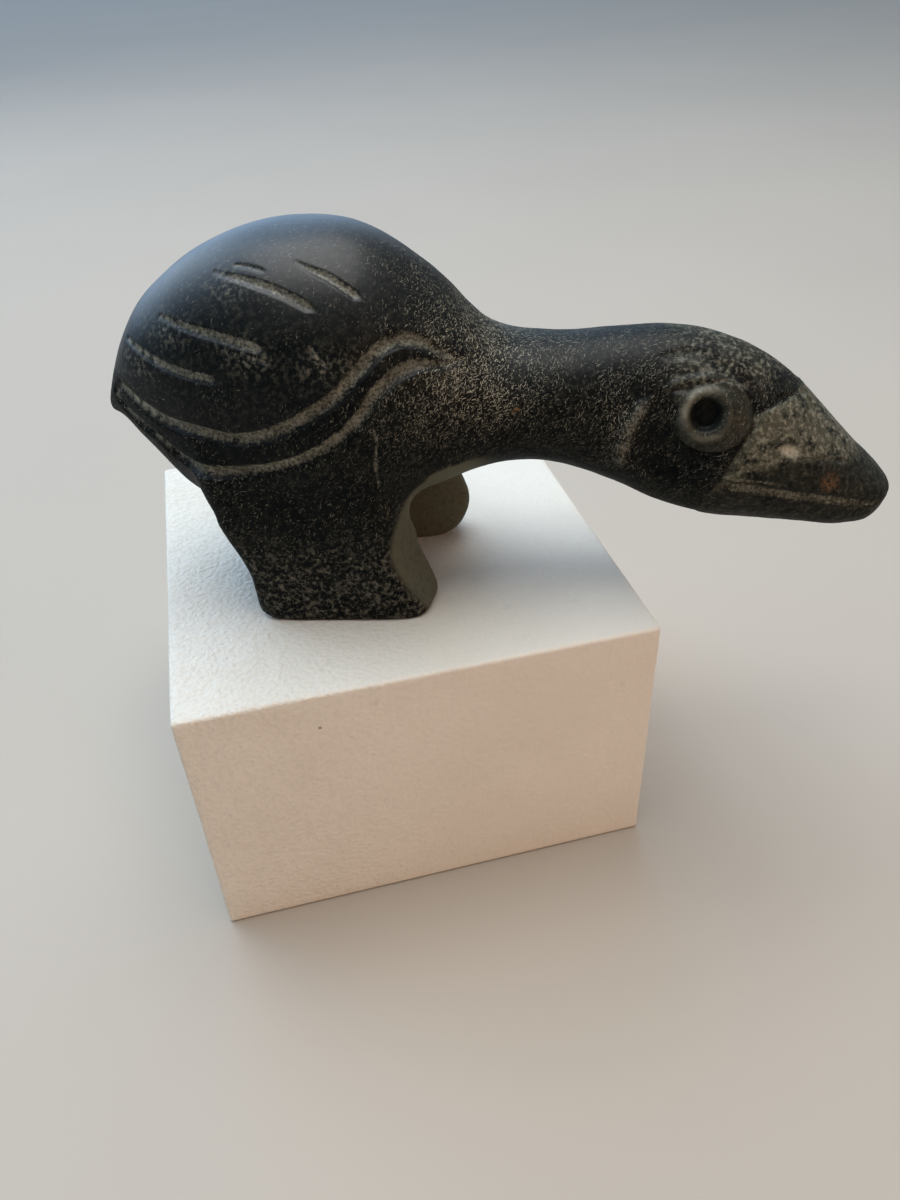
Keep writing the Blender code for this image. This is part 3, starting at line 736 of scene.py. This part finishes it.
def sculpt(obj, s):
    """Carves the skinned solid and stores what the material needs to know about each point."""
    samples = line_samples(obj, s)
    lines = tree_of_points([sample[0] for sample in samples])
    refine_near(obj, lines, s.groove_width * 0.75)
    tree = tree_of(obj)
    eye = Vector(((PUPIL_CENTRE[0] - FEET_CENTRE) * s.length, 0, PUPIL_CENTRE[1] * s.length))
    eyes = tree_of_points([onto_side(tree, eye, side, s.length) for side in (-1, 1)])
    refine_near(obj, eyes, s.pupil_radius + s.ring_width)
    points, normals = points_and_normals(obj)
    along, height = side_places(points, s.length)
    rubbed = rubbed_share(along, height)
    beak = beyond(along, height, BEAK_EDGE)
    smooth = beyond(along, height, SMOOTH_EDGE) * past(SMOOTH_TOP, height, 0.01)
    inside = past(INSIDE_HALF_WIDTH, abs(points[:, 1]) / s.length, 0.02) * past(INSIDE_TOP, height, 0.02)
    smooth = np.maximum(smooth, inside) * past(LEGS_END, along, 0.05)
    move = s.hand_wave * wave(points, HAND_WAVE_SIZE, 3) * 0.8
    move += s.chisel_wave * wave(points, CHISEL_WAVE_SIZE, 11) * (1 - 0.8 * rubbed) * (1 - 0.6 * smooth)
    move += BEAK_RISE * beak
    relief, pale, hollow, eyeball = face_relief(points, normals, s)
    move += relief
    dust = cut_lines(points, lines, samples, move)
    chipped = past(0.14, along, 0.08)
    chips = smooth_step(wave(points, 0.0022, 31) * 1.6 + 0.5)
    pale = np.maximum(pale, dust * chipped * chips * 0.8)
    dust *= 1 - 0.7 * chipped * (1 - chips)
    dust *= 1 - 0.5 * smooth_step(wave(points, 0.004, 37) * 1.5)
    move *= past(points[:, 2], 0, 0.0015)
    put_points(obj, points + normals * move[:, None])
    # The top of the head: mottled, and lighter in part as a painted sheen
    crown = past(along, 0.67, 0.06) * past(height, 0.262, 0.03)
    under, over = read_line(WING_LOWER[2:], along), read_line(WING_UPPER, along)
    between = past(height, under, 0.01) * past(over, height, 0.01) * (along < 0.43)
    # Painted shade: the lower flank is darker
    flank = hill(along, height, 0.24, 0.17, 0.12, 0.05)
    # Painted shade: the lower beak and its tip are darker
    low_beak = beak * past(read_line(BEAK_SHADE, along), height, 0.02)
    scuffed = np.maximum.reduce([hill(along, height, x, z, 0.04, 0.022) for x, z in SCUFFS])
    scuffed *= past(abs(normals[:, 1]), 0.25, 0.4)
    foot = past(0.15, height, 0.06) * (along < LEGS_END)
    masks = {
        "rubbed": [rubbed],
        "beak": [beak],
        "dust": [dust],
        # Painted shade: the eye's socket, the pupil, under the jaw, the lower flank and the lower beak are
        # darkened; the band between the wing lines is darker too, with fewer tool marks
        "bare": [hollow, between * 0.52, flank * 0.55, low_beak * 0.85],
        "smooth": [smooth, eyeball],
        "speckled": [beak - 0.3 * low_beak, crown * 0.8, foot * 0.5, eyeball * 0.9, scuffed * 0.6],
        "bruised": [hill(along, height, 0.46, 0.31, 0.07, 0.06),
                    0.7 * hill(along, height, 0.64, 0.23, 0.025, 0.05)],
        "polished": [rubbed * 0.12, eyeball * 0.6],
        # Pale dust in the nostril and chips near the tail, and a painted glint on the eye ring
        "pale": [pale],
        "crown": [crown],
    }
    for name, parts in masks.items():
        put_mask(obj, name, np.maximum.reduce(parts))


def node_group(name, inputs, output):
    """An empty shader group with inputs given as label and default, where None makes a vector."""
    group = bpy.data.node_groups.new(name, "ShaderNodeTree")
    for label, default in inputs.items():
        kind = "NodeSocketVector" if default is None else "NodeSocketFloat"
        socket = group.interface.new_socket(label, in_out="INPUT", socket_type=kind)
        if default is not None:
            socket.default_value = default
    group.interface.new_socket(output, in_out="OUTPUT", socket_type="NodeSocketFloat")
    return group, group.nodes.new("NodeGroupInput"), group.nodes.new("NodeGroupOutput")


class Wiring:
    """Adds nodes to a tree and joins them, so that a material reads as a few formulas."""

    def __init__(self, tree):
        self.tree = tree

    def put(self, socket, value):
        if isinstance(value, bpy.types.NodeSocket):
            self.tree.links.new(value, socket)
        elif value is not None:
            socket.default_value = value

    def node(self, kind, **settings):
        node = self.tree.nodes.new(kind)
        for name, value in settings.items():
            setattr(node, name, value)
        return node

    def math(self, operation, first, second=None, third=None, clamp=False):
        node = self.node("ShaderNodeMath", operation=operation, use_clamp=clamp)
        for socket, value in zip(node.inputs, (first, second, third)):
            self.put(socket, value)
        return node.outputs[0]

    def vector(self, operation, first, second=None, scale=None):
        node = self.node("ShaderNodeVectorMath", operation=operation)
        self.put(node.inputs[0], first)
        self.put(node.inputs[1], second)
        self.put(node.inputs[3], scale)
        return node.outputs["Value" if operation in ("DOT_PRODUCT", "LENGTH") else "Vector"]

    def feed(self, node, **values):
        """Fills a node's inputs by their labels, with _ for a space."""
        for label, value in values.items():
            self.put(node.inputs[label.replace("_", " ")], value)
        return node

    def sum(self, first, second, third, clamp=False):
        """First times second, plus third."""
        return self.math("MULTIPLY_ADD", first, second, third, clamp)

    def times(self, first, *others):
        for other in others:
            first = self.math("MULTIPLY", first, other)
        return first

    def most(self, first, *others):
        for other in others:
            first = self.math("MAXIMUM", first, other)
        return first

    def axis(self, vector, index):
        node = self.node("ShaderNodeSeparateXYZ")
        self.put(node.inputs[0], vector)
        return node.outputs[index]

    def ramp(self, value, low, high, to_low=0.0, to_high=1.0):
        """A smooth step from low to high."""
        node = self.node("ShaderNodeMapRange", interpolation_type="SMOOTHSTEP")
        self.feed(node, Value=value, From_Min=low, From_Max=high, To_Min=to_low, To_Max=to_high)
        return node.outputs["Result"]

    def blend(self, share, first, second):
        node = self.feed(self.node("ShaderNodeMix", data_type="RGBA"), Factor=share)
        self.put(node.inputs[6], first)
        self.put(node.inputs[7], second)
        return node.outputs[2]

    def noise(self, vector, size, detail=2.0, roughness=0.5, output="Fac"):
        """Noise from 0 to 1 over this size in metres."""
        node = self.node("ShaderNodeTexNoise")
        self.feed(node, Vector=vector, Scale=1 / size, Detail=detail, Roughness=roughness)
        return node.outputs[output]

    def bump(self, shader, height, strength, distance):
        node = self.feed(self.node("ShaderNodeBump"), Height=height, Strength=strength, Distance=distance)
        self.put(shader.inputs["Normal"], node.outputs["Normal"])

    def mask(self, name):
        return self.node("ShaderNodeAttribute", attribute_name=name).outputs["Fac"]

    def group(self, group, **inputs):
        return self.feed(self.node("ShaderNodeGroup", node_tree=group), **inputs).outputs[0]

    def patches(self, mottle, place, patches):
        """Cloudy patches given as (size, low, high, detail)."""
        size, low, high, detail = patches
        return self.group(mottle, Place=place, Size=size, Low=low, High=high, Detail=detail)


def tool_marks_group():
    """Short bruised dashes scattered over a surface, each lying in it and leaning its own way."""
    group, inside, outside = node_group("Tool marks", {
        "Place": None, "Facing": None, "Lie": None, "Cell": 0.0024, "Length": 0.8, "Width": 0.1,
        "Spread": 1.5, "Amount": 0.5, "Seed": 0.0}, "Marks")
    w = Wiring(group)
    given = inside.outputs
    shift = w.node("ShaderNodeCombineXYZ")
    w.put(shift.inputs[0], given["Seed"])
    w.put(shift.inputs[2], given["Seed"])
    scaled = w.vector("SCALE", given["Place"], scale=w.math("DIVIDE", 1.0, given["Cell"]))
    place = w.vector("ADD", scaled, shift.outputs[0])
    cells = w.feed(w.node("ShaderNodeTexVoronoi"), Vector=place, Scale=1.0)
    local = w.vector("SUBTRACT", place, cells.outputs["Position"])
    chance = w.node("ShaderNodeSeparateColor")
    w.put(chance.inputs[0], cells.outputs["Color"])

    def flattened(vector):
        out = w.vector("SCALE", given["Facing"], scale=w.vector("DOT_PRODUCT", vector, given["Facing"]))
        return w.vector("SUBTRACT", vector, out)

    flat = flattened(local)
    angle = w.times(w.math("SUBTRACT", chance.outputs[0], 0.5), given["Spread"])
    turn = w.node("ShaderNodeVectorRotate", rotation_type="AXIS_ANGLE")
    w.feed(turn, Vector=flattened(given["Lie"]), Axis=given["Facing"], Angle=angle)
    along = w.vector("DOT_PRODUCT", flat, w.vector("NORMALIZE", turn.outputs["Vector"]))
    squared = w.math("SUBTRACT", w.vector("DOT_PRODUCT", flat, flat), w.times(along, along))
    beside = w.math("SQRT", w.most(squared, 0.0))
    thin = w.ramp(beside, w.times(given["Width"], 0.4), given["Width"], 1.0, 0.0)
    half = w.times(given["Length"], 0.5)
    short = w.ramp(w.math("ABSOLUTE", along), w.times(half, 0.6), half, 1.0, 0.0)
    kept = w.ramp(w.math("SUBTRACT", given["Amount"], chance.outputs[1]), 0.0, 0.25)
    strength = w.math("POWER", chance.outputs[2], 1.8)
    w.put(outside.inputs[0], w.times(thin, short, w.times(kept, strength)))
    return group


def mottle_group():
    """Cloudy patches from 0 to 1, with their size and contrast as inputs."""
    group, inside, outside = node_group(
        "Mottle", {"Place": None, "Size": 0.01, "Low": 0.35, "High": 0.65, "Detail": 3.0}, "Mottle")
    w = Wiring(group)
    given = inside.outputs
    scale = w.math("DIVIDE", 1.0, given["Size"])
    cloud = w.feed(w.node("ShaderNodeTexNoise"), Vector=given["Place"], Scale=scale, Detail=given["Detail"])
    w.put(outside.inputs[0], w.ramp(cloud.outputs["Fac"], given["Low"], given["High"]))
    return group


def new_material(name):
    material = bpy.data.materials.new(name)
    material.use_nodes = True
    return material, material.node_tree.nodes["Principled BSDF"], Wiring(material.node_tree)


def greenstone(c, marks, mottle):
    """Dark stone: rubbed on the back, bruised by the tool elsewhere, with pale dust in the cut lines, and
    with painted shade, a painted glint and tool marks painted paler on upward faces.
    """
    material, shader, w = new_material("greenstone_finish")
    place = w.node("ShaderNodeTexCoord").outputs["Object"]
    facing = w.node("ShaderNodeNewGeometry").outputs["Normal"]
    upness = w.axis(facing, 2)
    rubbed, beak, dust, bare, smooth, speckled, bruised, polished, pale, crown = map(w.mask, MASKS)
    clouds, patches, blotches, spots, grit = (
        w.patches(mottle, place, patch)
        for patch in (STONE_CLOUDS, STONE_PATCHES, STONE_BLOTCHES, STONE_SPOTS, STONE_GRIT))

    sway = w.vector("MULTIPLY_ADD", w.noise(place, MARK_SWAY_SIZE, output="Color"), MARK_SWAY)
    w.put(sway.node.inputs[2], MARK_WAY)
    amount = w.sum(rubbed, -0.26, 0.50)
    for mask, change in ((bruised, 0.42), (bare, -0.42), (smooth, -0.60), (speckled, -0.42)):
        amount = w.sum(mask, change, amount)
    amount = w.times(amount, w.ramp(patches, 0.0, 1.0, 0.62, 1.15))
    dashes = 0.0
    for cell, length, width, spread, seed, strength in MARK_LAYERS:
        layer = w.group(marks, Place=place, Facing=facing, Lie=sway, Cell=cell, Length=length, Width=width,
                        Spread=spread, Amount=amount, Seed=seed)
        dashes = w.most(dashes, w.times(layer, strength))
    # Painted light: the tool marks are paler on faces turned up and darker on faces turned down
    lit_from_above = w.ramp(upness, -0.7, 0.6, 0.35, 1.0)
    strength = w.ramp(w.math("SUBTRACT", bruised, w.times(rubbed, 0.3)), -0.3, 1.0, 0.36, 0.95)
    lit_bruise_share = w.times(dashes, w.times(lit_from_above, strength))
    speckle = w.sum(grit, 0.4, w.times(spots, 0.6))
    speckle_share = w.times(speckle, w.ramp(speckled, 0.0, 1.0, 0.05, 0.5),
                            w.ramp(w.most(bare, smooth), 0.0, 1.0, 1.0, 0.2))

    beak_tone = w.blend(blotches, c.olive, c.stone_green)
    smooth_tone = w.blend(w.times(spots, speckled), c.olive, c.stone_green)
    grain = w.noise(place, 0.0012, 4.0, 0.7)
    edge = w.sum(w.math("SUBTRACT", grain, 0.5), 1.5, dust)
    powder = w.times(w.ramp(edge, 0.2, 0.75), w.ramp(w.noise(place, 0.005, 3.0), 0.3, 0.65, 0.55, 0.95),
                     w.ramp(dust, 0.02, 0.25),
                     w.ramp(w.noise(place, 0.0008, 3.0, 0.6), 0.38, 0.62, 0.3, 1.0))
    stain = w.times(spot_at(w, place, STAIN_PLACE, STAIN_RADIUS), w.ramp(grain, 0.42, 0.62, 0.04, 0.42))
    fleck = w.times(spot_at(w, place, FLECK_PLACE, FLECK_RADIUS), spots)
    base = c.stone
    for share, colour in (
        (w.times(clouds, 0.2), c.stone_green),
        (w.times(blotches, 0.28), c.stone_green),
        (w.times(beak, w.ramp(bare, 0.0, 1.0, 1.0, 0.15), 0.66), beak_tone),
        (w.times(smooth, 0.8), smooth_tone),
        # Olive patches on the top of the head: mottled stone, and in part a painted sheen
        (w.times(crown, patches, 0.22), c.olive),
        (w.most(lit_bruise_share, speckle_share), c.bruise_and_glint),
        (powder, c.chalk),
        # Pale dust and chips, and the painted glint on the eye ring, in the tool marks' colour
        (w.times(pale, w.ramp(grain, 0.35, 0.6, 0.45, 0.85)), c.bruise_and_glint),
        (stain, c.rust),
        (fleck, c.rust),
    ):
        base = w.blend(share, base, colour)
    rough = w.sum(clouds, 0.08, w.ramp(rubbed, 0.0, 1.0, 0.50, 0.34))
    rough = w.sum(w.most(powder, lit_bruise_share), 0.35, rough, clamp=True)
    shine = w.times(w.ramp(upness, 0.25, 0.85), w.ramp(rubbed, 0.0, 1.0, 0.3, 0.82))
    w.feed(shader, Base_Color=base, Roughness=rough, Specular_IOR_Level=0.05,
           Coat_Weight=w.most(polished, shine), Coat_Roughness=0.4)
    relief = w.times(dashes, -0.6)
    relief = w.sum(w.noise(place, 0.0006, 3.0), w.ramp(rubbed, 0.0, 1.0, 0.6, 0.15), relief)
    relief = w.sum(spots, w.times(speckled, 0.8), relief)
    relief = w.sum(grain, dust, relief)
    w.bump(shader, relief, 0.7, 0.0002)
    return material


def spot_at(w, place, centre, radius):
    """1 near this place, fading to 0 at this distance."""
    away = w.vector("LENGTH", w.vector("SUBTRACT", place, centre))
    return w.ramp(away, radius * 0.4, radius, 1.0, 0.0)


def white_paint(c, mottle):
    """Rolled paint with its stipple, painted shade in the stipple's hollows, faint scuffs and one dark
    speck.
    """
    material, shader, w = new_material("painted_wood_finish")
    place = w.node("ShaderNodeTexCoord").outputs["Object"]
    clouds = w.patches(mottle, place, PAINT_CLOUDS)
    scuffs = w.patches(mottle, place, PAINT_SCUFFS)
    stronger_to_left = w.ramp(w.axis(place, 0), -0.07, 0.04, 1.0, 0.35)
    stipple = w.noise(place, 0.0015, 2.0, 0.5)
    colour = w.blend(w.times(clouds, 0.10), c.paint, c.scuff_and_shade)
    colour = w.blend(w.times(scuffs, 0.22), colour, c.scuff_and_shade)
    # Painted shade: the stipple's hollows are darkened, more towards the left
    colour = w.blend(w.times(w.ramp(stipple, 0.36, 0.54, 0.1, 0.0), stronger_to_left), colour, c.scuff_and_shade)
    colour = w.blend(w.times(spot_at(w, place, SPECK_PLACE, SPECK_RADIUS), 0.7), colour, c.speck)
    w.feed(shader, Base_Color=colour, Roughness=w.ramp(clouds, 0.0, 1.0, 0.5, 0.62))
    uneven = w.sum(w.noise(place, 0.005, 3.0), 0.6, stipple)
    w.bump(shader, w.times(uneven, stronger_to_left), 1.0, 0.0007)
    return material


def plain_floor(c, mottle):
    material, shader, w = new_material("floor_finish")
    place = w.node("ShaderNodeTexCoord").outputs["Object"]
    darker = [channel * 0.96 for channel in c.floor[:3]] + [1]
    tone = w.blend(w.patches(mottle, place, FLOOR_CLOUDS), c.floor, darker)
    w.feed(shader, Base_Color=tone, Roughness=0.7)
    return material


def shared_group(name, make):
    return bpy.data.node_groups.get(name) or make()


def clothe(obj, material):
    obj.data.materials.clear()
    obj.data.materials.append(material)
    obj.data.shade_smooth()


class GOSLING_OT_carve(bpy.types.Operator):
    """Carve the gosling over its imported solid"""

    bl_idname = "gosling.carve"
    bl_label = "Carve the gosling"
    bl_options = {"REGISTER", "UNDO"}

    def execute(self, context):
        s = context.scene.gosling_carving
        places = [0.5 - 0.5 * math.cos(math.pi * i / (BODY_RINGS - 1)) for i in range(BODY_RINGS)]
        carving = loft("gosling_carving", [body_ring(along, s.length) for along in places])
        trunk_tree = tree_of(carving)
        span = LEG_TOP + LEG_BELOW_SOLE
        heights = [span * i / (LEG_RINGS - 1) - LEG_BELOW_SOLE for i in range(LEG_RINGS)]
        legs = [loft("leg", [leg_ring(height, side, s.length) for height in heights]) for side in (-1, 1)]
        leg_trees = [tree_of(leg) for leg in legs]
        for leg in legs:
            union_with(carving, leg)
        even_skin(carving, s.skin)
        soften(carving, trunk_tree, leg_trees, BLEND_REACH * s.length)
        edit_mesh(carving, cut_soles)
        sculpt(carving, s)
        carving.data.transform(
            Matrix.Translation((s.stand_right, s.stand_back, PLINTH_HIGH.z + REST_GAP))
            @ Matrix.Rotation(s.turn, 4, "Z"))
        marks = shared_group("Tool marks", tool_marks_group)
        clothe(carving, greenstone(s, marks, shared_group("Mottle", mottle_group)))
        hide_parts("gosling")
        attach(carving, "root")
        return {"FINISHED"}


def block_mesh(size, radius, grid):
    """A box of small faces centred over the origin, with rounded edges."""
    def steps(length):
        count = max(2, round((length - 2 * radius) / grid))
        middle = [-length / 2 + radius + (length - 2 * radius) * i / count for i in range(count + 1)]
        angles = [math.pi / 2 * (EDGE_STEPS - i) / EDGE_STEPS for i in range(EDGE_STEPS)]
        low = [-length / 2 + radius - radius * math.sin(angle) for angle in angles]
        return low + middle + [-value for value in reversed(low)]

    bm = bmesh.new()
    found = {}

    def vert(point):
        key = tuple(round(value, 7) for value in point)
        if key not in found:
            inner = [max(-size[k] / 2 + radius, min(size[k] / 2 - radius, point[k])) for k in range(3)]
            away = Vector(point) - Vector(inner)
            if away.length > 0:
                away = away.normalized() * radius
            found[key] = bm.verts.new(Vector(inner) + away)
        return found[key]

    for axis in range(3):
        across, up = (axis + 1) % 3, (axis + 2) % 3
        first = steps(size[across])
        second = steps(size[up])
        for sign in (-1, 1):
            for i in range(len(first) - 1):
                for j in range(len(second) - 1):
                    corners = []
                    for a, b in ((i, j), (i + 1, j), (i + 1, j + 1), (i, j + 1)):
                        point = [0, 0, 0]
                        point[axis] = sign * size[axis] / 2
                        point[across] = first[a]
                        point[up] = second[b]
                        corners.append(vert(point))
                    bm.faces.new(corners if sign > 0 else corners[::-1])
    return bm


class GOSLING_OT_plinth(bpy.types.Operator):
    """Make the painted block"""

    bl_idname = "gosling.plinth"
    bl_label = "Make the block"
    bl_options = {"REGISTER", "UNDO"}

    def execute(self, context):
        s = context.scene.gosling_plinth
        size = PLINTH_HIGH - PLINTH_LOW
        block = new_object("plinth_block", block_mesh(size, s.edge_radius, s.grid))
        points, normals = points_and_normals(block)
        move = s.sag * (wave(points, SAG_SIZE, 5) - 0.4) + s.stipple * wave(points, STIPPLE_SIZE, 9)
        move -= DENT_DEPTH * np.maximum(wave(points, DENT_SIZE, 23) - 0.25, 0)
        move *= past(points[:, 2], -size.z / 2, 0.004)
        points = points + normals * np.minimum(move, PAINT_LIMIT)[:, None]
        points[:, 2] += (PLINTH_LOW.z + PLINTH_HIGH.z) / 2
        put_points(block, points)
        clothe(block, white_paint(s, shared_group("Mottle", mottle_group)))
        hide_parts("plinth")
        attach(block, "root")
        return {"FINISHED"}


class GOSLING_OT_stage(bpy.types.Operator):
    """Set the plain floor, the soft light and the camera"""

    bl_idname = "gosling.stage"
    bl_label = "Set the stage"
    bl_options = {"REGISTER", "UNDO"}

    def execute(self, context):
        s = context.scene.gosling_stage
        bm = bmesh.new()
        bmesh.ops.create_grid(bm, x_segments=2, y_segments=2, size=FLOOR_REACH)
        floor = new_object("floor", bm)
        floor.location.z = PLINTH_LOW.z - FLOOR_BELOW
        clothe(floor, plain_floor(s, shared_group("Mottle", mottle_group)))
        self.light(context, s)
        self.camera(context)
        return {"FINISHED"}

    def light(self, context, s):
        world = bpy.data.worlds.new("room")
        world.use_nodes = True
        context.scene.world = world
        w = Wiring(world.node_tree)
        direction = w.node("ShaderNodeTexCoord").outputs["Generated"]
        towards = w.vector("DOT_PRODUCT", direction, Vector(WINDOW_WAY).normalized())
        colour = w.blend(w.ramp(towards, 0.5, 0.95), s.room, s.sky)
        w.feed(world.node_tree.nodes["Background"], Color=colour, Strength=s.sky_strength)
        for name, place, size, colour in LIGHTS:
            self.panel_light(name, place, size, getattr(s, name), colour)
        context.scene.view_settings.view_transform = "Standard"

    def panel_light(self, name, place, size, power, colour):
        lamp = bpy.data.lights.new(name, "AREA")
        lamp.shape = "SQUARE"
        lamp.size = size
        lamp.energy = power
        lamp.color = colour
        obj = add_object(name, lamp)
        obj.location = place
        obj.rotation_mode = "QUATERNION"
        obj.rotation_quaternion = (Vector(LIGHT_TARGET) - Vector(place)).to_track_quat("-Z", "Y")

    def camera(self, context):
        lens = bpy.data.cameras.new("camera")
        lens.lens = CAMERA_LENS
        lens.sensor_width = SENSOR
        lens.clip_start = 0.01
        camera = add_object("camera", lens)
        camera.matrix_world = (
            Matrix.Translation(CAMERA_PLACE)
            @ Matrix.Rotation(-CAMERA_TURN, 4, "Z")
            @ Matrix.Rotation(math.pi / 2 - CAMERA_DOWN, 4, "X")
            @ Matrix.Rotation(CAMERA_ROLL, 4, "Z"))
        context.scene.camera = camera


class GOSLING_PT_panel(bpy.types.Panel):
    """The gosling's sizes and colours"""

    bl_idname = "GOSLING_PT_panel"
    bl_label = "Greenstone gosling"
    bl_space_type = "VIEW_3D"
    bl_region_type = "UI"
    bl_category = "Gosling"

    def draw(self, context):
        for operator, settings in (
            (GOSLING_OT_carve, context.scene.gosling_carving),
            (GOSLING_OT_plinth, context.scene.gosling_plinth),
            (GOSLING_OT_stage, context.scene.gosling_stage),
        ):
            box = self.layout.box()
            box.operator(operator.bl_idname)
            for name in settings.__annotations__:
                box.prop(settings, name)


CLASSES = (GoslingCarving, GoslingPlinth, GoslingStage, GOSLING_OT_carve, GOSLING_OT_plinth,
           GOSLING_OT_stage, GOSLING_PT_panel)


def register():
    for cls in CLASSES:
        bpy.utils.register_class(cls)
    bpy.types.Scene.gosling_carving = bpy.props.PointerProperty(type=GoslingCarving)
    bpy.types.Scene.gosling_plinth = bpy.props.PointerProperty(type=GoslingPlinth)
    bpy.types.Scene.gosling_stage = bpy.props.PointerProperty(type=GoslingStage)


def unregister():
    del bpy.types.Scene.gosling_stage
    del bpy.types.Scene.gosling_plinth
    del bpy.types.Scene.gosling_carving
    for cls in reversed(CLASSES):
        bpy.utils.unregister_class(cls)


def main():
    register()
    bpy.ops.gosling.stage()
    bpy.ops.gosling.plinth()
    bpy.ops.gosling.carve()


if __name__ == "__main__":
    main()
